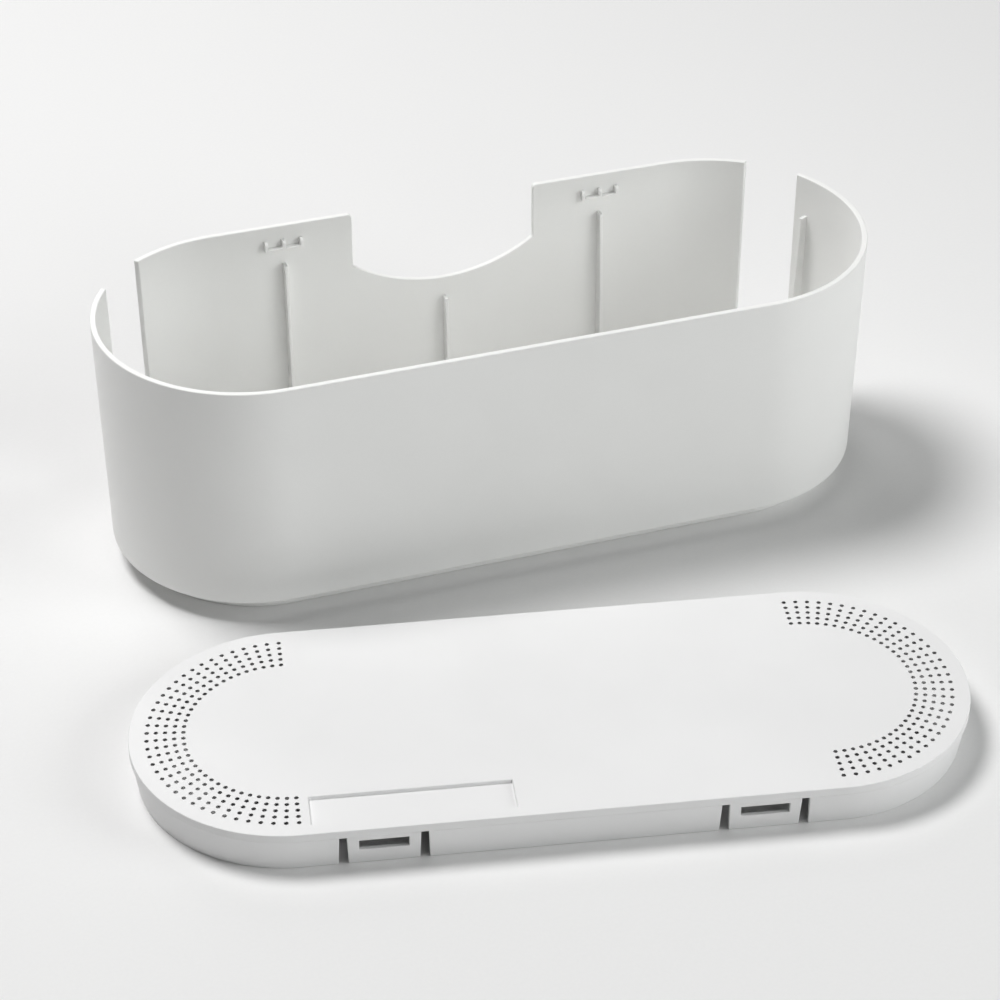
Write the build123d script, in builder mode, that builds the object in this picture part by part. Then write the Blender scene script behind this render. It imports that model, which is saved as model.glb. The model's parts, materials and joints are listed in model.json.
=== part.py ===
"""Cable management box: an open tub for a power strip and a ventilated lid that clips in.

Millimetres, +Z up. The origin is the centre of the tub's flat base on the floor, +X runs along
the tub and -Y is its plain front. The lid lies right side up on the floor in front of the tub.
"""
from math import atan, cos, degrees, radians, sin, tan
import os

from build123d import *

# ---------------------------------------------------------------- driving dimensions
# Plan: a long box with two round ends
half_span = 100.0  # from the middle of the box to the centre of each round end
rim_radius = 62.5  # outer radius of the round ends at the rim
base_radius = 60.8  # outer radius at the lower edge of the wall
tub_height = 110.0
wall = 2.4
floor_thickness = 2.4
rim_rounding = 0.5

# Plinth under the wall
plinth_height = 8.5
plinth_inset = 10.3
wall_foot_rounding = 2.0

# Cable cut-out in the rear wall
cutout_width = 80.0
cutout_side_depth = 25.0
cutout_depth = 37.5
cutout_corner = 2.0  # rounding where its sides meet the rim

# Cable slots in the two rear quarters
slot_direction = 45.0  # degrees from the long axis
slot_width = 24.0
slot_depth = 85.0
slot_corner = 4.0

# Lid
lid_gap = 0.3  # between the edge of the lid and the inside of the rim
lid_height = 17.6
lid_plate = 2.6
lid_band = 3.5  # height of the outer edge above the skirt
lid_edge_rounding = 0.4
skirt_inset = 0.5
skirt_thickness = 1.8
skirt_draft = 7.5  # degrees
lid_x = -28.7
lid_y = -167.2
lid_turn = -10.8

# Vents: rows of holes around each round end of the lid
vent_diameter = 1.7
vent_edge_gap = 6.92  # from the edge of the lid to the middle of the outermost row
vent_row_step = 3.42
vent_rows = 5
vent_columns = 37
vent_arc = 180.0
vent_skin = 0.8  # thickness of the plate where the vents go through
vent_margin = 2.0  # how far the thin plate reaches past the middle of the outer holes

# Blank recessed panel in the top of the lid
panel_length = 75.0
panel_width = 15.3
panel_depth = 1.6
panel_floor = 1.6
panel_vent_gap = 4.2  # from the last column of vents
panel_edge_gap = 5.15  # from the edge of the lid

# Latches: four tongues in the lid's skirt and a catch for each inside the tub
latch_offset = 70.0
tongue_width = 27.0  # at its root
tongue_narrowing = 0.45  # on each side, from the root to the foot
relief_top = 2.7
relief_foot = 3.6
window_width = 18.2
window_height = 4.8
window_drop = 5.9  # from the top of the lid to the top of the window
catch_side_gap = 0.9
catch_drop_gap = 0.4
catch_sill_gap = 0.3
catch_reach = 2.4
catch_ledge = 0.9
catch_rib = 1.2
catch_ribs = 3
catch_slope = 0.8  # how far the uprights' free edge leans back, over the same height at the top

# Ribs inside the tub that the lid's skirt stands on
rib_thickness = 1.4
rib_reach = 3.6
rib_draft = 3.0  # degrees
cutout_rib_gap = 9.0  # from the lower edge of the cut-out to the rib under it
end_rib_direction = 27.5  # degrees from the long axis, at the right end only
embed = 1.0  # how far ribs and catches are rooted in the wall

# ---------------------------------------------------------------- worked-out dimensions
wall_draft = degrees(atan((rim_radius - base_radius) / (tub_height - plinth_height)))
rim_inside = rim_radius - wall
plinth_radius = base_radius - plinth_inset
lid_radius = rim_inside - lid_gap
skirt_radius = lid_radius - skirt_inset
skirt_height = lid_height - lid_band
seat_height = tub_height - lid_height
vent_last_row = lid_radius - vent_edge_gap
vent_first_row = vent_last_row - (vent_rows - 1) * vent_row_step
vent_overhang = vent_last_row * sin(radians(vent_arc / 2 - 90))
panel_x = vent_overhang + panel_vent_gap + panel_length / 2 - half_span
panel_y = panel_width / 2 + panel_edge_gap - lid_radius
catch_top = tub_height - window_drop - catch_drop_gap
catch_bottom = tub_height - window_drop - window_height + catch_sill_gap
catch_width = window_width - 2 * catch_side_gap
half_root = tongue_width / 2
half_foot = half_root - tongue_narrowing

lid_foot = Plane(
    origin=(lid_x, lid_y, 0),
    x_dir=(cos(radians(lid_turn)), sin(radians(lid_turn)), 0),
    z_dir=(0, 0, 1),
)
lid_side = Plane(origin=lid_foot.origin, x_dir=lid_foot.x_dir, z_dir=-lid_foot.y_dir)

os.makedirs("parts", exist_ok=True)


def obround(radius):
    """Plan outline of the box: two half circles joined by straight sides."""
    SlotCenterToCenter(2 * half_span, 2 * radius)


def inside_radius(height):
    """Radius of the inner face of the tub's wall at a height above the floor."""
    return rim_inside - (tub_height - height) * tan(radians(wall_draft))


def upright_plane(x, direction):
    """Upright plane through (x, 0): its x runs outwards along the direction, its y runs up."""
    turn = radians(direction)
    return Plane(
        origin=(x, 0, 0), x_dir=(cos(turn), sin(turn), 0), z_dir=(sin(turn), -cos(turn), 0)
    )


def upright_web(plane, corners, thickness):
    """Flat web of material with the given side view, centred on an upright plane."""
    with BuildSketch(plane) as side_view:
        Polygon(*corners, align=None)
    extrude(side_view.sketch, amount=thickness / 2, both=True)


def support_rib(x, direction, top):
    """Rib on the inside of the wall, deeper towards the floor, that the lid's skirt stands on."""
    foot = plinth_height + floor_thickness - embed
    inner_top = inside_radius(top) - rib_reach
    inner_foot = inner_top - (top - foot) * tan(radians(rib_draft))
    corners = [
        (inner_top, top),
        (inner_foot, foot),
        (inside_radius(foot) + embed, foot),
        (inside_radius(top) + embed, top),
    ]
    upright_web(upright_plane(x, direction), corners, rib_thickness)


def lid_catch(x, direction):
    """Catch for a window in the lid: a ledge on the wall with three short uprights on it."""
    reach = inside_radius(catch_bottom) - catch_reach
    ledge_top = catch_bottom + catch_ledge
    root = inside_radius(catch_bottom) + embed
    ledge = [(reach, catch_bottom), (root, catch_bottom), (root, ledge_top), (reach, ledge_top)]
    upright = [
        (reach, catch_bottom),
        (root, catch_bottom),
        (root, catch_top),
        (reach + catch_slope, catch_top),
        (reach, catch_top - catch_slope),
    ]
    upright_web(upright_plane(x, direction), ledge, catch_width)
    rib_step = (catch_width - catch_rib) / (catch_ribs - 1)
    for index in range(catch_ribs):
        rib_x = x - (catch_width - catch_rib) / 2 + index * rib_step
        upright_web(upright_plane(rib_x, direction), upright, catch_rib)


# ---------------------------------------------------------------- tub
with BuildPart() as tub:
    # Wall, plinth and the hollow inside them
    with BuildSketch(Plane.XY.offset(tub_height)):
        obround(rim_radius)
    extrude(amount=-(tub_height - plinth_height), taper=wall_draft)
    fillet(tub.edges().group_by(Axis.Z)[0], radius=wall_foot_rounding)
    with BuildSketch(Plane.XY):
        obround(plinth_radius)
    extrude(amount=plinth_height)
    with BuildSketch(Plane.XY.offset(tub_height)):
        obround(rim_inside)
    hollow_depth = tub_height - plinth_height - floor_thickness
    extrude(amount=-hollow_depth, taper=wall_draft, mode=Mode.SUBTRACT)
    with BuildSketch(Plane.XY.offset(floor_thickness)):
        obround(plinth_radius - wall)
    extrude(amount=plinth_height, mode=Mode.SUBTRACT)

    # Ribs that carry the lid: on both long walls, and one at the right end
    for x in (-latch_offset, latch_offset):
        support_rib(x, 90, seat_height)
        support_rib(x, -90, seat_height)
    support_rib(0, -90, seat_height)
    support_rib(0, 90, tub_height - cutout_depth - cutout_rib_gap)
    support_rib(half_span, end_rib_direction, seat_height)

    # Catches for the four latches
    for x in (-latch_offset, latch_offset):
        lid_catch(x, 90)
        lid_catch(x, -90)

    # Cable cut-out in the rear wall, with a shallow arc as its lower edge
    half_cut = cutout_width / 2
    side_foot = tub_height - cutout_side_depth
    above_rim = tub_height + rim_radius
    with BuildSketch(Plane.XZ):
        with BuildLine():
            Polyline(
                (-half_cut, side_foot),
                (-half_cut, above_rim),
                (half_cut, above_rim),
                (half_cut, side_foot),
            )
            ThreePointArc(
                (half_cut, side_foot), (0, tub_height - cutout_depth), (-half_cut, side_foot)
            )
        make_face()
    extrude(amount=-2 * rim_radius, mode=Mode.SUBTRACT)
    rim_corners = tub.edges().filter_by(Axis.Y).group_by(Axis.Z)[-1]
    fillet(rim_corners, radius=cutout_corner)

    # Rounded rim
    fillet(tub.edges().group_by(Axis.Z)[-1], radius=rim_rounding)

    # Cable slots in the two rear quarters, open at the rim
    for x, direction in ((half_span, slot_direction), (-half_span, 180 - slot_direction)):
        turn = radians(direction)
        across_slot = Plane(
            origin=(x, 0, tub_height - slot_depth),
            x_dir=(-sin(turn), cos(turn), 0),
            z_dir=(cos(turn), sin(turn), 0),
        )
        with BuildSketch(across_slot):
            with Locations((0, slot_depth)):
                slot = Rectangle(slot_width, 2 * slot_depth)
            fillet(slot.vertices().sort_by(Axis.Z)[:2], radius=slot_corner)
        extrude(amount=2 * rim_radius, mode=Mode.SUBTRACT)


def skirt_ring():
    """Skirt of the lid, from the underside of its outer band down to the foot, with draft."""
    for radius, mode in ((skirt_radius, Mode.ADD), (skirt_radius - skirt_thickness, Mode.SUBTRACT)):
        with BuildSketch(lid_foot.offset(skirt_height)) as outline:
            obround(radius)
        extrude(outline.sketch, amount=-skirt_height, taper=skirt_draft, mode=mode)


def latch_zone(x, side, half_above, half_below, mode):
    """Block over one latch, the full height of the skirt, for cutting it free or picking it out."""
    with BuildSketch(lid_side) as outline:
        Polygon(
            (x - half_below, 0),
            (x + half_below, 0),
            (x + half_above, skirt_height),
            (x - half_above, skirt_height),
            align=None,
        )
    extrude(outline.sketch, amount=side * half_span, mode=mode)


# ---------------------------------------------------------------- lid
with BuildPart() as lid:
    with BuildSketch(lid_foot.offset(skirt_height)):
        obround(lid_radius)
    extrude(amount=lid_band)
    fillet(lid.edges().group_by(Axis.Z)[-1], radius=lid_edge_rounding)
    with BuildSketch(lid_foot.offset(skirt_height)):
        obround(skirt_radius - skirt_thickness)
    extrude(amount=lid_band - lid_plate, mode=Mode.SUBTRACT)

    skirt_ring()
    for x in (-latch_offset, latch_offset):
        for side in (-1, 1):
            latch_zone(x, side, half_root + relief_top, half_foot + relief_foot, Mode.SUBTRACT)

    # Plate thinned from below around each round end, where the vents go
    with BuildSketch(lid_foot.offset(lid_height - vent_skin)):
        with Locations((-half_span, 0), (half_span, 0)):
            Circle(vent_last_row + vent_margin)
        with Locations((-half_span, 0), (half_span, 0)):
            Circle(vent_first_row - vent_margin, mode=Mode.SUBTRACT)
        Rectangle(2 * (half_span - vent_margin), 2 * lid_radius, mode=Mode.SUBTRACT)
    extrude(amount=-lid_plate, mode=Mode.SUBTRACT)

    # Blank recessed panel, with its own floor under the plate
    panel_top = lid_foot.offset(lid_height)
    with BuildSketch(panel_top.offset(-lid_plate)):
        with Locations((panel_x, panel_y)):
            Rectangle(panel_length + 2 * panel_floor, panel_width + 2 * panel_floor)
    extrude(amount=lid_plate - panel_depth - panel_floor)
    with BuildSketch(panel_top):
        with Locations((panel_x, panel_y)):
            Rectangle(panel_length, panel_width)
    extrude(amount=-panel_depth, mode=Mode.SUBTRACT)

    # Vents
    with BuildSketch(lid_foot.offset(lid_height)):
        for x, first in ((half_span, -vent_arc / 2), (-half_span, 180 - vent_arc / 2)):
            with Locations((x, 0)):
                for row in range(vent_rows):
                    row_radius = vent_first_row + row * vent_row_step
                    with PolarLocations(row_radius, vent_columns, first, vent_arc, endpoint=True):
                        Circle(vent_diameter / 2)
    extrude(amount=-lid_plate, mode=Mode.SUBTRACT)

# ---------------------------------------------------------------- latch tongues
tongues = {
    "front_left_latch": (-latch_offset, 1),
    "front_right_latch": (latch_offset, 1),
    "rear_left_latch": (-latch_offset, -1),
    "rear_right_latch": (latch_offset, -1),
}
for name, (x, side) in tongues.items():
    with BuildPart() as tongue:
        skirt_ring()
        latch_zone(x, side, half_root, half_foot, Mode.INTERSECT)
        with BuildSketch(lid_side):
            with Locations((x, lid_height - window_drop - window_height / 2)):
                Rectangle(window_width, window_height)
        extrude(amount=half_span, both=True, mode=Mode.SUBTRACT)
    tongue.part.label = name
    export_step(tongue.part, f"parts/{name}.step")

tub.part.label = "tub"
export_step(tub.part, "parts/tub.step")

lid.part.label = "lid"
export_step(lid.part, "parts/lid.step")
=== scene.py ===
"""Cable management box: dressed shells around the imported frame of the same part.

Every piece is modelled in the frame's own metres, +Z up, with the tub over the origin and the
lid on the floor in front of it.
"""
import json
from math import atan2, cos, pi, radians, sin, tan

import bmesh
import bpy
from bpy.props import FloatProperty, FloatVectorProperty, IntProperty, PointerProperty
from mathutils import Matrix, Vector


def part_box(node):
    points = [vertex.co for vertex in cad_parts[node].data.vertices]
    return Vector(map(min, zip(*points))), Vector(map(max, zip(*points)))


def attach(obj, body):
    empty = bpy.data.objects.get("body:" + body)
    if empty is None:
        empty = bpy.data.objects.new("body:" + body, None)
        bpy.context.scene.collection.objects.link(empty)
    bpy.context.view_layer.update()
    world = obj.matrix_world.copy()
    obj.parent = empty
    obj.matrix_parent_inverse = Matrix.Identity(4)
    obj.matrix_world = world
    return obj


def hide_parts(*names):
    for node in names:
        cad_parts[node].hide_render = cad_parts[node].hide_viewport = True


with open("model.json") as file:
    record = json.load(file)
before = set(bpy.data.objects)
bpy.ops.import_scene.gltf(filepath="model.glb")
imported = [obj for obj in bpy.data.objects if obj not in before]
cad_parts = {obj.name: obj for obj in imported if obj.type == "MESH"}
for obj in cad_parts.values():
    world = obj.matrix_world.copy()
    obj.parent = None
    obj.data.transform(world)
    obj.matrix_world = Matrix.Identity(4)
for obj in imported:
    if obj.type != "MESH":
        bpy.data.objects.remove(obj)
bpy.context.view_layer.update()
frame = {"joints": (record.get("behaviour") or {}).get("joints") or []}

bl_info = {
    "name": "Cable management box",
    "version": (1, 0, 0),
    "blender": (4, 5, 0),
    "location": "View3D > Sidebar > Cable box",
    "description": "Models a cable management box and its studio around the packed solids",
    "category": "Object",
}

MM = 0.001
TUB_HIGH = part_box("tub")[1]
LID_LOW, LID_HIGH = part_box("lid")
SCOPE = "cable_box_"  # the size groups hang on the scene under names that start with this


def joint_axis(name):
    """Direction of one of the frame's joints."""
    return Vector(next(joint["axis"] for joint in frame["joints"] if joint["name"] == name))


LID_AXIS = joint_axis("front_left_flex")


# ------------------------------------------------------------------------- sizes and finishes
def length(label, text, millimetres):
    """A size that a user can change, written in millimetres and held in metres."""
    return FloatProperty(
        name=label, description=text, default=millimetres * MM, min=0, precision=5, unit="LENGTH"
    )


def angle(label, text, degrees):
    """An angle that a user can change, written in degrees."""
    return FloatProperty(name=label, description=text, default=radians(degrees), subtype="ANGLE")


def colour(label, text, value):
    """A colour that a user can change."""
    return FloatVectorProperty(
        name=label, description=text, default=value, size=3, min=0, max=1, subtype="COLOR"
    )


def share(label, text, value):
    """A share between nothing and everything that a user can change."""
    return FloatProperty(name=label, description=text, default=value, min=0, max=1, subtype="FACTOR")


def place_of(label, text, millimetres):
    """A place that a user can change, written in millimetres and held in metres."""
    default = [value * MM for value in millimetres]
    return FloatVectorProperty(name=label, description=text, size=3, unit="LENGTH", default=default)


class TubSizes(bpy.types.PropertyGroup):
    """Sizes of the open tub."""

    rim_radius: length("Rim radius", "Outer radius of the round ends at the rim", TUB_HIGH.y / MM)
    half_span: length(
        "Half span", "From the middle to the centre of a round end", (TUB_HIGH.x - TUB_HIGH.y) / MM
    )
    height: length("Height", "From the floor to the rim", TUB_HIGH.z / MM)
    base_radius: length("Base radius", "Outer radius at the lower edge of the wall", 60.8)
    wall: length("Wall", "Thickness of the wall", 2.4)
    floor: length("Floor", "Thickness of the floor", 2.4)
    plinth_height: length("Plinth height", "Height of the step under the wall", 8.5)
    plinth_inset: length("Plinth inset", "How far the plinth stands back from the wall", 10.3)
    foot_rounding: length("Foot rounding", "Rounding of the wall's lower edge", 2.0)
    edge_rounding: length("Edge rounding", "Rounding of the rim and of every cut edge", 0.5)
    cutout_width: length("Cut-out width", "Width of the notch in the rear wall", 80)
    cutout_side: length("Cut-out side", "Depth of the notch at its two sides", 25)
    cutout_depth: length("Cut-out depth", "Depth of the notch in the middle of its arc", 37.5)
    cutout_corner: length("Cut-out corner", "Rounding where the notch meets the rim", 2.0)
    slot_direction: angle("Slot direction", "Place of each cable slot around its end", 45)
    slot_width: length("Slot width", "Width of each cable slot", 24)
    slot_depth: length("Slot depth", "Depth of each cable slot below the rim", 85)
    slot_corner: length("Slot corner", "Rounding of the slot's lower corners", 4)


class RibSizes(bpy.types.PropertyGroup):
    """Sizes of the ribs and catches inside the tub."""

    thickness: length("Thickness", "Thickness of each rib", 1.4)
    reach: length("Reach", "How far each rib stands out of the wall at its top", 3.6)
    draft: angle("Draft", "Slope of each rib's free edge", 3)
    rounding: length("Rounding", "Rounding of each rib's edges", 0.3)
    embed: length("Embed", "How far ribs and catches are rooted in the wall", 1)
    end_direction: angle("End rib direction", "Place of the rib around the right round end", 27.5)
    cutout_gap: length("Cut-out gap", "From the arc of the cut-out to the rib under it", 9)
    catch_width: length("Catch width", "Width of each catch", 16.4)
    catch_reach: length("Catch reach", "How far each catch stands out of the wall", 2.4)
    catch_ledge: length("Catch ledge", "Thickness of the ledge under each catch", 0.9)
    catch_rib: length("Catch rib", "Width of each upright of a catch", 1.2)
    catch_low: length("Catch low", "From the rim down to the underside of the ledge", 10.4)
    catch_high: length("Catch high", "From the rim down to the top of the catch", 6.3)
    catch_slope: length("Catch slope", "Bevel along the top of each upright", 0.8)


class LidSizes(bpy.types.PropertyGroup):
    """Sizes of the lid, whose place and turn come from the frame."""

    radius: length("Radius", "Outer radius of the round ends", 59.8)
    height: length("Height", "From the foot of the skirt to the top", LID_HIGH.z / MM)
    plate: length("Plate", "Thickness of the top plate", 2.6)
    band: length("Band", "Height of the outer edge above the skirt", 3.5)
    skirt_inset: length("Skirt inset", "How far the skirt stands back from the band", 0.5)
    skirt: length("Skirt", "Thickness of the skirt", 1.8)
    draft: angle("Draft", "Slope of the skirt", 7.5)
    top_rounding: length("Top rounding", "Rounding of the upper edge", 0.4)
    edge_rounding: length("Edge rounding", "Rounding of the skirt's free edges", 0.35)
    panel_length: length("Panel length", "Length of the blank recessed panel", 75)
    panel_width: length("Panel width", "Width of the blank recessed panel", 15.3)
    panel_depth: length("Panel depth", "Depth of the blank recessed panel", 1.6)
    panel_floor: length("Panel floor", "Thickness under the recessed panel", 1.6)
    panel_x: length("Panel place", "From the middle of the lid to the middle of the panel", 58.3)
    panel_y: length("Panel inset", "From the long centre line to the panel's middle", 47.0)


class VentSizes(bpy.types.PropertyGroup):
    """Sizes of the rows of holes around each end of the lid."""

    diameter: length("Diameter", "Diameter of each hole", 1.7)
    mouth: length("Mouth", "Width of the small bevel around each hole", 0.05)
    land: length("Land", "Straight part of each hole, under its bevel", 0.1)
    flare: length("Flare", "How much wider each hole is on every side at its lower end", 0.6)
    skin: length("Skin", "Thickness of the plate where the holes go through", 0.8)
    margin: length("Margin", "Thin plate past the middle of the outer holes", 2.0)
    first_row: length("First row", "Radius of the innermost row", 39.2)
    row_step: length("Row step", "From one row to the next", 3.42)
    rows: IntProperty(name="Rows", description="Rows of holes at each end", default=5, min=1)
    columns: IntProperty(name="Columns", description="Holes in each row", default=37, min=2)


class LatchSizes(bpy.types.PropertyGroup):
    """Sizes of the four latch tongues in the lid's skirt."""

    offset: length("Offset", "From the middle of the box to the middle of each latch", 70)
    width: length("Width", "Width of each tongue at its root", 27)
    narrowing: length("Narrowing", "How much narrower it is on each side at its foot", 0.45)
    relief_top: length("Relief top", "Slot beside each tongue, at its upper end", 2.7)
    relief_foot: length("Relief foot", "Slot beside each tongue, at its lower end", 3.6)
    window_width: length("Window width", "Width of the window that the catch enters", 18.2)
    window_height: length("Window height", "Height of the window", 4.8)
    window_drop: length("Window drop", "From the top of the lid to the window", 5.9)
    edge_rounding: length("Edge rounding", "Rounding of the tongue's free edges", 0.3)


class Finishes(bpy.types.PropertyGroup):
    """Colours and surface of the two mouldings."""

    tub: colour("Tub", "White of the tub, a touch warm", (0.888, 0.89, 0.876))
    lid: colour("Lid", "White of the lid", (0.835, 0.835, 0.835))
    roughness: share("Roughness", "Mean roughness of the moulded skin", 0.46)
    unevenness: share("Unevenness", "How much the roughness changes from place to place", 0.1)
    cloudiness: share("Cloudiness", "How much the white changes from place to place", 0.03)
    speckle: share("Speckle", "How much the fine grain darkens the white", 0.02)
    grain_size: length("Grain size", "Size of one grain of the mould's fine texture", 0.4)
    grain_depth: length("Grain depth", "Depth of that texture", 0.02)
    cloud_size: length("Cloud size", "Size of the broad, faint clouds in the white", 60)
    cloud_depth: length("Cloud depth", "How far the walls are from perfectly flat", 0.15)


class StudioSettings(bpy.types.PropertyGroup):
    """The camera, the floor and the lights around the box."""

    azimuth: angle("Azimuth", "Direction of the camera around the box", -18.3075)
    elevation: angle("Elevation", "Height of the camera above the floor", 35.1339)
    distance: length("Distance", "From the camera to its target", 1068.642)
    target: place_of("Target", "What the camera looks at", (-46.249, -156.476, 110))
    lens: FloatProperty(
        name="Lens", description="Focal length of the camera", default=106.592, unit="CAMERA"
    )
    floor_size: length("Floor size", "Width of the paper on the floor", 12000)
    floor_drop: length("Floor drop", "How far the paper lies below the foot of the box", 0.05)
    floor_colour: colour("Floor", "Colour of the paper", (0.835, 0.835, 0.832))
    floor_roughness: share("Floor roughness", "Roughness of the paper", 0.9)
    fibre_size: length("Fibre size", "Size of the paper's fibres", 1.5)
    fibre_depth: length("Fibre depth", "Depth of the paper's fibres", 0.02)
    fibre_contrast: share("Fibre contrast", "How much the fibres change the white", 0.016)
    fade_start: length("Fade start", "Where the floor begins to fade to even white", 700)
    fade_end: length("Fade end", "Where the floor has become even white", 1500)
    surround: share("Surround", "Soft light that comes from everywhere", 0.02)
    lit_place: place_of("Lit place", "What the lights face", (-30, -90, 40))
    light_distance: length("Light distance", "From each light to what it faces", 2000)
    key: share("Key", "Light from high up, behind on the left", 0.835)
    side: share("Side fill", "Light from the right", 0.42)
    front: share("Front fill", "Light from the front", 0.125)
    rear: share("Rear fill", "Light from behind", 0.17)


def sizes(group):
    """One group of the sizes above, as the user has set it."""
    return getattr(bpy.context.scene, SCOPE + group)


# ------------------------------------------------------------------------------ modelling kit
END_STEPS = 72  # faces around each round end
NOTCH_STEPS = 240  # faces around the whole bar that cuts the rear notch
VENT_STEPS = 16  # faces around each vent
MERGE = 0.01 * MM  # points nearer than this are one
SMOOTH = radians(40)  # faces that meet at less than this are shaded as one
FLATNESS = 100  # how much large faces outweigh small ones in the shading; 50 is neutral


def choose(*pieces):
    """Select some pieces and no other, with the first one active."""
    bpy.ops.object.select_all(action="DESELECT")
    for piece in pieces:
        piece.select_set(True)
    bpy.context.view_layer.objects.active = pieces[0]


def edit(piece):
    """Open one piece, and no other, in edit mode."""
    choose(piece)
    bpy.ops.object.mode_set(mode="EDIT")


def close():
    """Leave edit mode."""
    bpy.ops.object.mode_set(mode="OBJECT")


def added(name):
    """The piece that a primitive has just made, named."""
    piece = bpy.context.object
    piece.name = name
    piece.data.name = name
    return piece


def add_box(name, low, high):
    """A box between two corners, with its place in its mesh."""
    bpy.ops.object.select_all(action="DESELECT")
    low, high = Vector(low), Vector(high)
    bpy.ops.mesh.primitive_cube_add(size=1, location=(low + high) / 2, scale=high - low)
    bpy.ops.object.transform_apply(location=True, rotation=True, scale=True)
    return added(name)


def add_bar(name, steps, radius, depth, location, rotation=(0, 0, 0)):
    """A round bar, with its place in its mesh."""
    bpy.ops.object.select_all(action="DESELECT")
    bpy.ops.mesh.primitive_cylinder_add(
        vertices=steps, radius=radius, depth=depth, location=location, rotation=rotation
    )
    bpy.ops.object.transform_apply(location=True, rotation=True, scale=True)
    return added(name)


def turned_at(x, y, turn):
    """A turn about an upright axis, and then a move to a place on the floor."""
    return Matrix.Translation((x, y, 0)) @ Matrix.Rotation(turn, 4, "Z")


def place(piece, matrix):
    """Move a finished mesh, and leave its object at the origin."""
    choose(piece)
    piece.matrix_world = matrix
    bpy.ops.object.transform_apply(location=True, rotation=True, scale=True)


def copy_of(piece, name):
    """A second piece with its own mesh."""
    choose(piece)
    bpy.ops.object.duplicate()
    return added(name)


def join(name, pieces):
    """Several pieces made one object."""
    choose(*pieces)
    bpy.ops.object.join()
    return added(name)


def apply_modifier(piece, kind, **settings):
    """Add one modifier to a piece, set it up and apply it."""
    choose(piece)
    bpy.ops.object.modifier_add(type=kind)
    modifier = piece.modifiers[-1]
    for key, value in settings.items():
        setattr(modifier, key, value)
    bpy.ops.object.modifier_apply(modifier=modifier.name)


def cut(piece, tool, operation="DIFFERENCE"):
    """Cut a tool out of a piece, or unite the two, and delete the tool."""
    apply_modifier(piece, "BOOLEAN", operation=operation, solver="EXACT", object=tool)
    bpy.data.objects.remove(tool)


def near(value, target):
    """Whether two lengths are the same to a hundredth of a millimetre."""
    return abs(value - target) < MERGE


def select(piece, wanted, kind="EDGE"):
    """In edit mode, select the edges, or the vertices, whose every corner passes the test."""
    bpy.ops.mesh.select_mode(type=kind)
    bpy.ops.mesh.select_all(action="DESELECT")
    mesh = bmesh.from_edit_mesh(piece.data)
    for item in mesh.verts if kind == "VERT" else mesh.edges:
        corners = [item] if kind == "VERT" else item.verts
        item.select_set(all(wanted(corner.co) for corner in corners))
    bmesh.update_edit_mesh(piece.data)


def round_edges(piece, weights, width, segments=3):
    """Round the sharp edges that pass a test, each (test, weight) by that part of the width."""
    edit(piece)
    for wanted, weight in weights:
        select(piece, wanted)
        mesh = bmesh.from_edit_mesh(piece.data)
        for edge in mesh.edges:
            flat = len(edge.link_faces) != 2 or edge.calc_face_angle(0) < SMOOTH
            if edge.select and flat:
                edge.select_set(False)
        bmesh.update_edit_mesh(piece.data)
        bpy.ops.transform.edge_bevelweight(value=weight)
    close()
    apply_modifier(
        piece, "BEVEL",
        limit_method="WEIGHT", width=width, segments=segments, use_clamp_overlap=False,
    )


def draw_profile(name, points):
    """An upright chain of edges through (radius, height) points, where a round end starts."""
    bpy.ops.object.select_all(action="DESELECT")
    bpy.ops.mesh.primitive_plane_add(size=MM)
    piece = added(name)
    edit(piece)
    bpy.ops.mesh.select_all(action="SELECT")
    bpy.ops.mesh.merge(type="CENTER")
    bpy.ops.mesh.select_all(action="SELECT")
    radius, height = points[0]
    bpy.ops.transform.translate(value=(sizes("tub").half_span, -radius, height))
    for (radius, height), (next_radius, next_height) in zip(points, points[1:]):
        step = (0, radius - next_radius, next_height - height)
        bpy.ops.mesh.extrude_vertices_move(TRANSFORM_OT_translate={"value": step})
    return piece


def round_profile(piece, radius, height, offset, segments):
    """Round one corner of a profile that is being drawn."""
    select(piece, lambda co: near(co.y, -radius) and near(co.z, height), "VERT")
    bpy.ops.mesh.bevel(affect="VERTICES", offset=offset, segments=segments)


def sweep_profile(piece):
    """Carry the profile once round the plan: end, side, end, side. Then close its two rings."""
    half_span = sizes("tub").half_span
    bpy.ops.mesh.select_mode(type="VERT")
    bpy.ops.mesh.select_all(action="SELECT")
    for side in (1, -1):
        centre = (side * half_span, 0, 0)
        bpy.ops.mesh.spin(steps=END_STEPS, angle=-pi, center=centre, axis=(0, 0, 1))
        along = (-side * 2 * half_span, 0, 0)
        bpy.ops.mesh.extrude_region_move(TRANSFORM_OT_translate={"value": along})
    bpy.ops.mesh.select_all(action="SELECT")
    bpy.ops.mesh.remove_doubles(threshold=MERGE)
    bpy.ops.mesh.fill_holes(sides=0)
    bpy.ops.mesh.select_all(action="SELECT")
    bpy.ops.mesh.normals_make_consistent(inside=False)
    close()


# ---------------------------------------------------------------------------------- materials
PLASTIC_IOR = 1.49
PATTERN_RANGE = 0.3, 0.7  # nearly all of a noise pattern lies between these
PATTERN_ROUGHNESS = 0.55  # how strong each finer layer of it is beside the one before


def new_material(name):
    """A new material, with its node tree and its shader."""
    material = bpy.data.materials.new(name)
    material.use_nodes = True
    return material, material.node_tree, material.node_tree.nodes["Principled BSDF"]


def node(tree, kind, **settings):
    """A shader node with some of its settings and inputs."""
    made = tree.nodes.new(kind)
    for key, value in settings.items():
        if key in made.inputs:
            made.inputs[key].default_value = value
        else:
            setattr(made, key, value)
    return made


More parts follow.
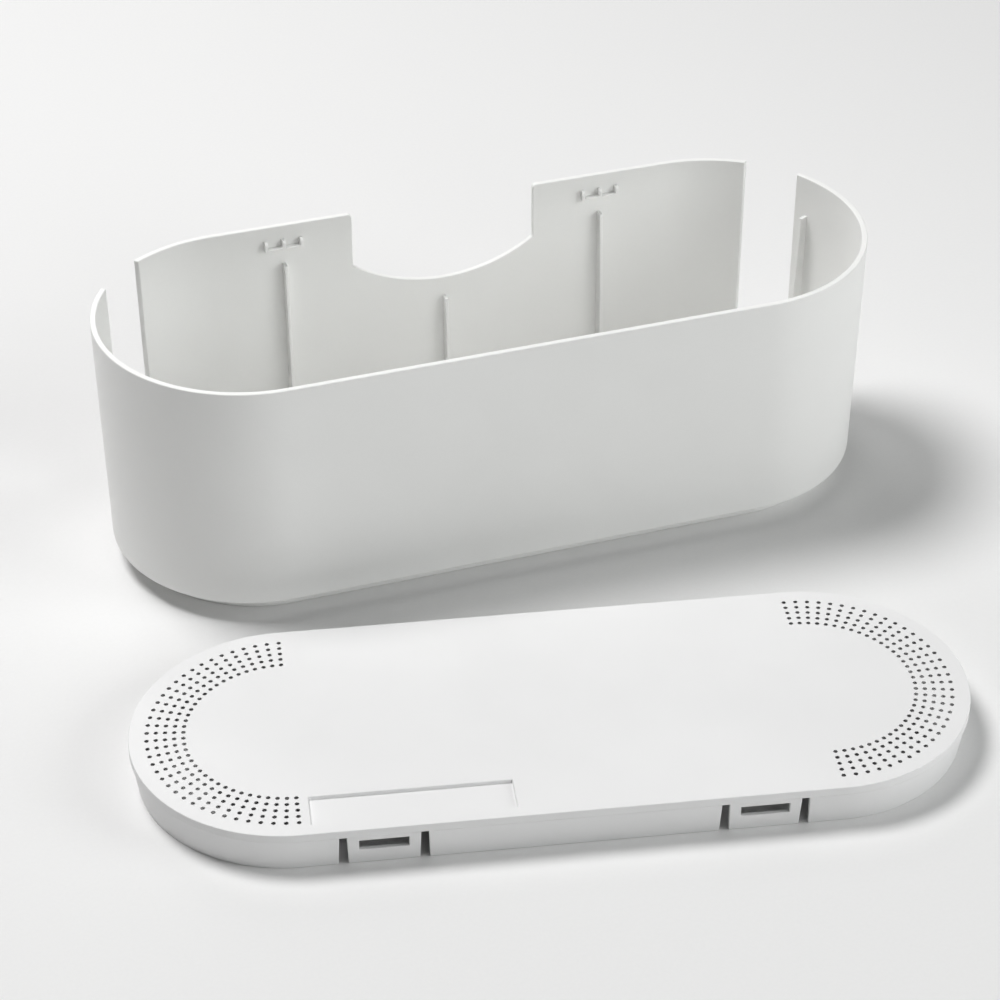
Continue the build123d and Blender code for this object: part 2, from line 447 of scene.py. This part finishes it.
def spread(tree, source, low, high):
    """A number between low and high that follows a pattern's darker and lighter places."""
    darkest, lightest = PATTERN_RANGE
    ranged = node(
        tree, "ShaderNodeMapRange",
        **{"From Min": darkest, "From Max": lightest, "To Min": low, "To Max": high},
    )
    tree.links.new(source, ranged.inputs["Value"])
    return ranged.outputs["Result"]


def combined(tree, operation, first, second):
    """Two numbers of a material made one, such as their sum or the larger of the two."""
    maths = node(tree, "ShaderNodeMath", operation=operation)
    tree.links.new(first, maths.inputs[0])
    tree.links.new(second, maths.inputs[1])
    return maths.outputs["Value"]


def noise(tree, size, detail):
    """A soft pattern with spots of about one size, fixed to the piece."""
    spot = node(tree, "ShaderNodeTexCoord")
    made = node(
        tree, "ShaderNodeTexNoise", Scale=1 / size, Detail=detail, Roughness=PATTERN_ROUGHNESS
    )
    tree.links.new(spot.outputs["Object"], made.inputs["Vector"])
    return made.outputs["Fac"]


def tinted(tree, tone, brightness):
    """A tone made darker and lighter by a pattern."""
    scaled = node(tree, "ShaderNodeVectorMath", operation="SCALE")
    scaled.inputs[0].default_value = tone
    tree.links.new(brightness, scaled.inputs["Scale"])
    return scaled.outputs["Vector"]


def relief_of(tree, patterns):
    """A normal roughened by several patterns, each with its depth."""
    normal = None
    for source, depth in patterns:
        bump = node(tree, "ShaderNodeBump", Strength=1.0, Distance=depth)
        tree.links.new(source, bump.inputs["Height"])
        if normal:
            tree.links.new(normal, bump.inputs["Normal"])
        normal = bump.outputs["Normal"]
    return normal


def moulded_plastic(name, tone):
    """White moulded plastic: broad clouds from the melt and the fine matte grain of the mould."""
    finish = sizes("finish")
    material, tree, shader = new_material(name)
    shader.inputs["IOR"].default_value = PLASTIC_IOR
    clouds = noise(tree, finish.cloud_size, detail=2.0)
    grain = noise(tree, finish.grain_size, detail=3.0)

    cloudy = spread(tree, clouds, 1 - finish.cloudiness / 2, 1 + finish.cloudiness / 2)
    speckled = spread(tree, grain, 1 - finish.speckle, 1)
    white = tinted(tree, tone, combined(tree, "MULTIPLY", cloudy, speckled))
    tree.links.new(white, shader.inputs["Base Color"])

    half = finish.unevenness / 2
    skin = combined(
        tree, "ADD",
        spread(tree, clouds, finish.roughness - half, finish.roughness + half),
        spread(tree, grain, -half, half),
    )
    tree.links.new(skin, shader.inputs["Roughness"])
    relief = relief_of(tree, ((clouds, finish.cloud_depth), (grain, finish.grain_depth)))
    tree.links.new(relief, shader.inputs["Normal"])
    return material


def seen_directly(tree):
    """One where the eye, a gloss or a clear piece looks straight at it, and zero for soft light."""
    path = node(tree, "ShaderNodeLightPath")
    seen = combined(tree, "MAXIMUM", path.outputs["Is Camera Ray"], path.outputs["Is Glossy Ray"])
    return combined(tree, "MAXIMUM", seen, path.outputs["Is Transmission Ray"])


def matte_paper(name):
    """The pale paper that the box stands on: short fibres, fading to even white far away."""
    studio = sizes("studio")
    material, tree, shader = new_material(name)
    shader.inputs["Roughness"].default_value = studio.floor_roughness
    shader.inputs["Specular IOR Level"].default_value = 0.0
    fibres = noise(tree, studio.fibre_size, detail=4.0)
    half = studio.fibre_contrast / 2
    white = tinted(tree, studio.floor_colour, spread(tree, fibres, 1 - half, 1 + half))
    tree.links.new(white, shader.inputs["Base Color"])
    relief = relief_of(tree, ((fibres, studio.fibre_depth),))
    tree.links.new(relief, shader.inputs["Normal"])

    spot = node(tree, "ShaderNodeTexCoord")
    away = node(tree, "ShaderNodeVectorMath", operation="LENGTH")
    tree.links.new(spot.outputs["Object"], away.inputs[0])
    fading = node(
        tree, "ShaderNodeMapRange", interpolation_type="SMOOTHSTEP",
        **{"From Min": studio.fade_start, "From Max": studio.fade_end},
    )
    tree.links.new(away.outputs["Value"], fading.inputs["Value"])
    even_white = node(tree, "ShaderNodeEmission", Color=(*studio.floor_colour, 1))
    blend = node(tree, "ShaderNodeMixShader")
    faded = combined(tree, "MULTIPLY", fading.outputs["Result"], seen_directly(tree))
    tree.links.new(faded, blend.inputs["Fac"])
    tree.links.new(shader.outputs["BSDF"], blend.inputs[1])
    tree.links.new(even_white.outputs["Emission"], blend.inputs[2])
    tree.links.new(blend.outputs["Shader"], tree.nodes["Material Output"].inputs["Surface"])
    return material


def pale_surround(name):
    """The room: the floor's white where it is seen, and almost no light of its own."""
    studio = sizes("studio")
    world = bpy.data.worlds.new(name)
    world.use_nodes = True
    tree = world.node_tree
    dim = tree.nodes["Background"]
    dim.inputs["Color"].default_value = (1, 1, 1, 1)
    dim.inputs["Strength"].default_value = studio.surround
    pale = node(tree, "ShaderNodeBackground", Color=(*studio.floor_colour, 1), Strength=1.0)
    blend = node(tree, "ShaderNodeMixShader")
    tree.links.new(seen_directly(tree), blend.inputs["Fac"])
    tree.links.new(dim.outputs["Background"], blend.inputs[1])
    tree.links.new(pale.outputs["Background"], blend.inputs[2])
    tree.links.new(blend.outputs["Shader"], tree.nodes["World Output"].inputs["Surface"])
    return world


def dress(piece, material):
    """Give a piece one material all over."""
    piece.data.materials.clear()
    piece.data.materials.append(material)


def moulding(which):
    """The material of the tub or the lid, made once."""
    name = which + "_moulded_plastic"
    return bpy.data.materials.get(name) or moulded_plastic(name, getattr(sizes("finish"), which))


def finish_moulding(piece, which):
    """Shade a piece smooth across its roundings, keep it flat between them, and dress it."""
    choose(piece)
    bpy.ops.object.shade_smooth_by_angle(angle=SMOOTH)
    apply_modifier(piece, "WEIGHTED_NORMAL", keep_sharp=True, weight=FLATNESS)
    dress(piece, moulding(which))


# ---------------------------------------------------------------------------------------- tub
def end_plane(side, direction):
    """Turns +X into the direction of a feature around the right (1) or left (-1) round end."""
    turn = direction if side > 0 else pi - direction
    return turned_at(side * sizes("tub").half_span, 0, turn)


def wall_slope():
    """How far the tub's wall leans outwards as it rises by one."""
    tub = sizes("tub")
    return (tub.rim_radius - tub.base_radius) / (tub.height - tub.plinth_height)


def wall_inside(height):
    """Inner radius of the tub's wall at some height."""
    tub = sizes("tub")
    return tub.rim_radius - tub.wall - (tub.height - height) * wall_slope()


class CABLEBOX_OT_tub(bpy.types.Operator):
    """Model the open tub: wall, plinth, floor, rear cut-out and two cable slots"""

    bl_idname = "cable_box.tub"
    bl_label = "Tub"

    def notch(self):
        """Tool for the rear cut-out: the lower part of a round bar, trimmed to its width."""
        tub = sizes("tub")
        half_width = tub.cutout_width / 2
        rise = tub.cutout_depth - tub.cutout_side
        arc_radius = (half_width ** 2 + rise ** 2) / (2 * rise)
        centre = (0, tub.rim_radius, tub.height - tub.cutout_depth + arc_radius)
        bar = add_bar("notch", NOTCH_STEPS, arc_radius, tub.rim_radius, centre, (pi / 2, 0, 0))
        edit(bar)
        for side in (1, -1):
            bpy.ops.mesh.select_all(action="SELECT")
            bpy.ops.mesh.bisect(
                plane_co=(side * half_width, 0, 0), plane_no=(side, 0, 0),
                use_fill=True, clear_outer=True,
            )
        close()
        return bar

    def slot(self, side):
        """Tool for the cable slot of one end, with its two lower corners rounded."""
        tub = sizes("tub")
        half = tub.slot_width / 2
        block = add_box(
            "slot",
            (0, -half, tub.height - tub.slot_depth),
            (2 * tub.rim_radius, half, 2 * tub.height),
        )
        edit(block)
        select(block, lambda co: co.z < tub.height)
        mesh = bmesh.from_edit_mesh(block.data)
        for edge in mesh.edges:
            if not near(edge.verts[0].co.y, edge.verts[1].co.y):
                edge.select_set(False)
        bmesh.update_edit_mesh(block.data)
        bpy.ops.mesh.bevel(offset=tub.slot_corner, segments=8)
        close()
        place(block, end_plane(side, tub.slot_direction))
        return block

    def execute(self, context):
        tub = sizes("tub")
        plinth_radius = tub.base_radius - tub.plinth_inset
        step = tub.plinth_height + tub.floor
        shell = draw_profile("tub_shell", [
            (plinth_radius, 0),
            (plinth_radius, tub.plinth_height),
            (tub.base_radius, tub.plinth_height),
            (tub.rim_radius, tub.height),
            (wall_inside(tub.height), tub.height),
            (wall_inside(step), step),
            (plinth_radius - tub.wall, step),
            (plinth_radius - tub.wall, tub.floor),
        ])
        round_profile(shell, tub.base_radius, tub.plinth_height, tub.foot_rounding, segments=6)
        sweep_profile(shell)
        cut(shell, self.notch())
        for side in (1, -1):
            cut(shell, self.slot(side))

        # Rounded corners where the cut-out meets the rim, then every free edge
        half_width = tub.cutout_width / 2
        edit(shell)
        select(shell, lambda co: near(abs(co.x), half_width) and near(co.z, tub.height) and co.y > 0)
        bpy.ops.mesh.bevel(offset=tub.cutout_corner, segments=6)
        close()
        round_edges(shell, [(lambda co: True, 1.0)], tub.edge_rounding)
        finish_moulding(shell, "tub")
        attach(shell, "tub")
        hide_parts("tub")
        return {"FINISHED"}


class CABLEBOX_OT_ribs(bpy.types.Operator):
    """Model the ribs inside the tub that the lid's skirt stands on"""

    bl_idname = "cable_box.ribs"
    bl_label = "Support ribs"

    def web(self, top, matrix):
        """One rib: its x runs outwards, and its free edge leans in towards the floor."""
        tub, rib = sizes("tub"), sizes("ribs")
        foot = tub.plinth_height + tub.floor - rib.embed
        inside = wall_inside(top)
        low = (inside - rib.reach, -rib.thickness / 2, foot)
        high = (inside + rib.embed, rib.thickness / 2, top)
        piece = add_box("rib", low, high)
        edit(piece)
        for outwards, lean in ((False, tan(rib.draft)), (True, wall_slope())):
            select(piece, lambda co: co.z < top - MERGE and (co.x > inside) == outwards, "VERT")
            bpy.ops.transform.translate(value=(-(top - foot) * lean, 0, 0))
        close()
        round_edges(piece, [(lambda co: co.x < inside, 1.0)], rib.rounding, segments=2)
        place(piece, matrix)
        return piece

    def execute(self, context):
        tub, rib, latch, lid = (sizes(group) for group in ("tub", "ribs", "latch", "lid"))
        seat = tub.height - lid.height
        under_cutout = tub.height - tub.cutout_depth - rib.cutout_gap
        webs = []
        for turn, middle_top in ((pi / 2, under_cutout), (-pi / 2, seat)):
            for x, top in ((-latch.offset, seat), (latch.offset, seat), (0, middle_top)):
                webs.append(self.web(top, turned_at(x, 0, turn)))
        webs.append(self.web(seat, end_plane(1, rib.end_direction)))
        ribs = join("support_ribs", webs)
        finish_moulding(ribs, "tub")
        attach(ribs, "tub")
        return {"FINISHED"}


class CABLEBOX_OT_catches(bpy.types.Operator):
    """Model the four catches for the latches: a ledge with three square uprights on it"""

    bl_idname = "cable_box.catches"
    bl_label = "Catches"

    def catch(self):
        """One catch, as it stands on the middle of the rear wall."""
        tub, rib = sizes("tub"), sizes("ribs")
        bottom = tub.height - rib.catch_low
        top = tub.height - rib.catch_high
        ledge_top = bottom + rib.catch_ledge
        front = wall_inside(bottom) - rib.catch_reach
        root = wall_inside(bottom) + rib.embed
        half, half_rib = rib.catch_width / 2, rib.catch_rib / 2
        ledge = add_box("ledge", (-half, front, bottom), (half, root, ledge_top))
        for x in (half_rib - half, 0, half - half_rib):
            upright = add_box("upright", (x - half_rib, front, ledge_top), (x + half_rib, root, top))
            edit(upright)
            select(upright, lambda co: near(co.z, top) and near(co.y, front))
            bpy.ops.mesh.bevel(offset=rib.catch_slope, segments=1)
            close()
            cut(ledge, upright, "UNION")
        free = wall_inside(top) + MERGE
        round_edges(ledge, [(lambda co: co.y < free, 1.0)], rib.rounding / 2, segments=2)
        return ledge

    def execute(self, context):
        latch = sizes("latch")
        first = self.catch()
        catches = []
        for turn in (0, pi):
            for x in (-latch.offset, latch.offset):
                catches.append(copy_of(first, "catch"))
                place(catches[-1], turned_at(x, 0, turn))
        bpy.data.objects.remove(first)
        piece = join("lid_catches", catches)
        finish_moulding(piece, "tub")
        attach(piece, "tub")
        return {"FINISHED"}


# ---------------------------------------------------------------------------------------- lid
def lid_place():
    """Where the lid lies, from the frame: the middle of its box and the turn of its latches."""
    middle = (LID_LOW + LID_HIGH) / 2
    return turned_at(middle.x, middle.y, atan2(LID_AXIS.y, LID_AXIS.x))


def skirt_sizes():
    """Height and upper outer radius of the skirt, and how far its foot stands in."""
    lid = sizes("lid")
    height = lid.height - lid.band
    return height, lid.radius - lid.skirt_inset, height * tan(lid.draft)


RELIEF_HALF = 1  # half length in metres of a relief tool, before its ends are drawn in
RELIEF_REACH = 3  # how many times the skirt's lean it reaches in, well past the skirt


class CABLEBOX_OT_lid(bpy.types.Operator):
    """Model the lid: plate, band, skirt with relief slots, blank panel and vents"""

    bl_idname = "cable_box.lid"
    bl_label = "Lid"

    def relief(self, x, side):
        """Tool that frees one latch: a long block, drawn in to two ends that slant."""
        latch = sizes("latch")
        skirt_height, skirt_radius, lean = skirt_sizes()
        inner = side * (skirt_radius - RELIEF_REACH * lean)
        outer = side * (skirt_radius + lean)
        tool = add_box(
            "relief",
            (x - RELIEF_HALF, min(inner, outer), -skirt_height),
            (x + RELIEF_HALF, max(inner, outer), skirt_height),
        )
        half_top = latch.width / 2 + latch.relief_top
        # The tool is twice as tall as the skirt, so it widens twice as much
        half_low = half_top + 2 * (latch.relief_foot - latch.narrowing - latch.relief_top)
        edit(tool)
        for end in (1, -1):
            for upper, half in ((True, half_top), (False, half_low)):
                select(tool, lambda co: (co.z > 0) == upper and (co.x - x) * end > 0, "VERT")
                bpy.ops.transform.translate(value=(end * (half - RELIEF_HALF), 0, 0))
        close()
        return tool

    def thinning(self):
        """Tool for the thin plate around one end: half a thick ring, a little past its middle."""
        lid, vent = sizes("lid"), sizes("vents")
        half_span = sizes("tub").half_span
        inner = vent.first_row - vent.margin
        outer = vent.first_row + (vent.rows - 1) * vent.row_step + vent.margin
        centre = (half_span, 0, lid.height - vent.skin - lid.plate / 2)
        ring = add_bar("thinning", 2 * END_STEPS, outer, lid.plate, centre)
        cut(ring, add_bar("inside", 2 * END_STEPS, inner, lid.plate, centre))
        beyond = add_box(
            "beyond", (0, -lid.radius, 0), (half_span - vent.margin, lid.radius, lid.height)
        )
        cut(ring, beyond)
        return ring

    def panel_block(self, name, margin, low, high):
        """A block over the blank panel, wider by a margin, between two heights."""
        lid = sizes("lid")
        half_length = lid.panel_length / 2 + margin
        half_width = lid.panel_width / 2 + margin
        return add_box(
            name,
            (-lid.panel_x - half_length, -lid.panel_y - half_width, low),
            (-lid.panel_x + half_length, -lid.panel_y + half_width, high),
        )

    def vent_pins(self):
        """Tool for the vents of one end: a pin with a bevelled neck and a flared foot, in rows."""
        lid, vent = sizes("lid"), sizes("vents")
        half_span = sizes("tub").half_span
        neck = vent.diameter / 2
        mouth, foot = neck + vent.mouth, neck + vent.flare
        above = lid.height + lid.plate
        bpy.ops.object.select_all(action="DESELECT")
        bpy.ops.mesh.primitive_circle_add(
            vertices=VENT_STEPS, radius=mouth, fill_type="NGON", location=(0, 0, above)
        )
        pin = added("vent_pin")
        edit(pin)
        bpy.ops.mesh.select_all(action="SELECT")
        rings = (
            (above, mouth),
            (lid.height, mouth),
            (lid.height - vent.mouth, neck),
            (lid.height - vent.mouth - vent.land, neck),
            (lid.height - vent.skin, foot),
            (lid.height - vent.skin - lid.plate, foot),
        )
        for (height, radius), (next_height, next_radius) in zip(rings, rings[1:]):
            step = (0, 0, next_height - height)
            growth = next_radius / radius
            bpy.ops.mesh.extrude_region_move(TRANSFORM_OT_translate={"value": step})
            bpy.ops.transform.resize(
                value=(growth, growth, 1), center_override=(0, 0, next_height)
            )
        bpy.ops.mesh.select_all(action="SELECT")
        bpy.ops.mesh.normals_make_consistent(inside=False)
        close()
        pins = []
        for row in range(vent.rows):
            row_radius = vent.first_row + row * vent.row_step
            pins.append(copy_of(pin, "vent_pin"))
            place(pins[-1], Matrix.Translation((half_span, -row_radius, 0)) @ pin.matrix_world)
        bpy.data.objects.remove(pin)
        tool = join("vent_pins", pins)
        edit(tool)
        bpy.ops.mesh.select_all(action="SELECT")
        bpy.ops.mesh.spin(
            steps=vent.columns - 1, dupli=True, angle=-pi, center=(half_span, 0, 0), axis=(0, 0, 1)
        )
        close()
        return tool

    def cut_both_ends(self, shell, tool):
        """Cut a tool made for the right end out of both ends."""
        other = copy_of(tool, "left_end_tool")
        place(other, turned_at(0, 0, pi))
        cut(shell, tool)
        cut(shell, other)

    def execute(self, context):
        lid, latch = sizes("lid"), sizes("latch")
        skirt_height, skirt_radius, lean = skirt_sizes()
        underside = lid.height - lid.plate
        shell = draw_profile("lid_shell", [
            (lid.radius, lid.height),
            (lid.radius, skirt_height),
            (skirt_radius, skirt_height),
            (skirt_radius - lean, 0),
            (skirt_radius - lean - lid.skirt, 0),
            (skirt_radius - lid.skirt, skirt_height),
            (skirt_radius - lid.skirt, underside),
        ])
        sweep_profile(shell)
        for x in (-latch.offset, latch.offset):
            for side in (-1, 1):
                cut(shell, self.relief(x, side))
        self.cut_both_ends(shell, self.thinning())

        # Blank recessed panel, with its own floor under the plate
        floor_top = lid.height - lid.panel_depth
        floor_low = floor_top - lid.panel_floor
        boss = self.panel_block("boss", lid.panel_floor, floor_low, lid.height - lid.plate / 2)
        cut(shell, boss, "UNION")
        cut(shell, self.panel_block("recess", 0, floor_top, 2 * lid.height))

        # Roundings, then the vents, whose bevels are their own
        unit = lid.top_rounding
        round_edges(shell, [
            (lambda co: co.z > underside + MERGE, 1.0),
            (lambda co: co.z < skirt_height + MERGE, lid.edge_rounding / unit),
            (lambda co: near(co.z, skirt_height), 0.0),
        ], unit)
        self.cut_both_ends(shell, self.vent_pins())
        finish_moulding(shell, "lid")
        place(shell, lid_place())
        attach(shell, "lid")
        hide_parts("lid")
        return {"FINISHED"}


class CABLEBOX_OT_latches(bpy.types.Operator):
    """Model the four latch tongues in the lid's skirt, each with its window"""

    bl_idname = "cable_box.latches"
    bl_label = "Latch tongues"

    def execute(self, context):
        lid, latch = sizes("lid"), sizes("latch")
        skirt_height, skirt_radius, lean = skirt_sizes()
        half = latch.width / 2
        tongue = add_box(
            "tongue", (-half, -skirt_radius, 0), (half, lid.skirt - skirt_radius, skirt_height)
        )
        edit(tongue)
        for end in (1, -1):
            select(tongue, lambda co: near(co.z, 0) and co.x * end > 0, "VERT")
            bpy.ops.transform.translate(value=(-end * latch.narrowing, lean, 0))
        close()
        window_top = lid.height - latch.window_drop
        window = add_box(
            "window",
            (-latch.window_width / 2, -lid.radius, window_top - latch.window_height),
            (latch.window_width / 2, 0, window_top),
        )
        cut(tongue, window)
        round_edges(tongue, [
            (lambda co: True, 1.0),
            (lambda co: near(co.z, skirt_height), 0.0),
        ], latch.edge_rounding)
        finish_moulding(tongue, "lid")
        rests = {
            "front_left": (-latch.offset, 0), "front_right": (latch.offset, 0),
            "rear_left": (-latch.offset, pi), "rear_right": (latch.offset, pi),
        }
        for where, (x, turn) in rests.items():
            piece = copy_of(tongue, where + "_tongue")
            place(piece, lid_place() @ turned_at(x, 0, turn))
            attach(piece, where + "_latch")
            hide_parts(where + "_latch")
        bpy.data.objects.remove(tongue)
        return {"FINISHED"}


# -------------------------------------------------------------------------------------- stage
SENSOR = 36  # width of the camera's sensor in millimetres, which the lens goes with
NEAREST = 10 * MM  # the camera sees nothing nearer than this
WARM, COOL = (1, 0.995, 0.995), (0.985, 1, 0.995)
SOFTBOXES = {  # direction and height in degrees, width in metres, and tint
    "key": (-133, 65, 0.8, WARM),
    "side": (55, 24, 1.2, COOL),
    "front": (8, 26, 1.2, COOL),
    "rear": (-175, 27, 1.0, WARM),
}


def facing(target, azimuth, elevation, distance):
    """Where something stands, and how it is turned, to face a target from a direction."""
    back = Vector((sin(azimuth) * cos(elevation), -cos(azimuth) * cos(elevation), sin(elevation)))
    return {
        "location": Vector(target) + back * distance,
        "rotation": (pi / 2 - elevation, 0, azimuth),
    }


class CABLEBOX_OT_studio(bpy.types.Operator):
    """Set up the camera, the pale floor and the soft light"""

    bl_idname = "cable_box.studio"
    bl_label = "Studio"

    def softbox(self, name):
        """A round soft light, by how bright it makes a white card that faces it."""
        studio = sizes("studio")
        azimuth, elevation, width, tint = SOFTBOXES[name]
        stand = facing(
            studio.lit_place, radians(azimuth), radians(elevation), studio.light_distance
        )
        bpy.ops.object.light_add(type="AREA", **stand)
        light = bpy.context.object
        light.name = name + "_softbox"
        light.data.shape = "DISK"
        light.data.size = width
        light.data.color = tint
        light.data.energy = getattr(studio, name) * (pi * studio.light_distance) ** 2

    def execute(self, context):
        studio = sizes("studio")
        stand = facing(studio.target, studio.azimuth, studio.elevation, studio.distance)
        bpy.ops.object.camera_add(**stand)
        camera = bpy.context.object
        camera.data.lens = studio.lens
        camera.data.sensor_width = SENSOR
        camera.data.clip_start = NEAREST
        context.scene.camera = camera

        bpy.ops.mesh.primitive_plane_add(size=studio.floor_size, location=(0, 0, -studio.floor_drop))
        bpy.ops.object.transform_apply(location=True)
        floor = added("paper_floor")
        dress(floor, matte_paper("pale_paper"))

        context.scene.world = pale_surround("studio_surround")
        for name in SOFTBOXES:
            self.softbox(name)
        context.scene.view_settings.view_transform = "Standard"
        return {"FINISHED"}


# --------------------------------------------------------------------------------- the add-on
class CABLEBOX_PT_sidebar(bpy.types.Panel):
    """Lists what the box is made of"""

    bl_idname = "CABLEBOX_PT_sidebar"
    bl_label = "Cable management box"
    bl_space_type = "VIEW_3D"
    bl_region_type = "UI"
    bl_category = "Cable box"

    def draw(self, context):
        for operator in OPERATORS:
            self.layout.operator(operator.bl_idname)


GROUPS = {
    "tub": TubSizes, "ribs": RibSizes, "lid": LidSizes, "vents": VentSizes, "latch": LatchSizes,
    "finish": Finishes, "studio": StudioSettings,
}
OPERATORS = (
    CABLEBOX_OT_tub, CABLEBOX_OT_ribs, CABLEBOX_OT_catches, CABLEBOX_OT_lid, CABLEBOX_OT_latches,
    CABLEBOX_OT_studio,
)
CLASSES = (*GROUPS.values(), *OPERATORS, CABLEBOX_PT_sidebar)


def register():
    """Register every class and hang the size groups on the scene."""
    for item in CLASSES:
        bpy.utils.register_class(item)
    for name, group in GROUPS.items():
        setattr(bpy.types.Scene, SCOPE + name, PointerProperty(type=group))


def unregister():
    """Undo register."""
    for name in GROUPS:
        delattr(bpy.types.Scene, SCOPE + name)
    for item in reversed(CLASSES):
        bpy.utils.unregister_class(item)


def main():
    """Make the box and its studio."""
    register()
    for operator in OPERATORS:
        name = operator.bl_idname.split(".")[1]
        getattr(bpy.ops.cable_box, name)()


if __name__ == "__main__":
    main()
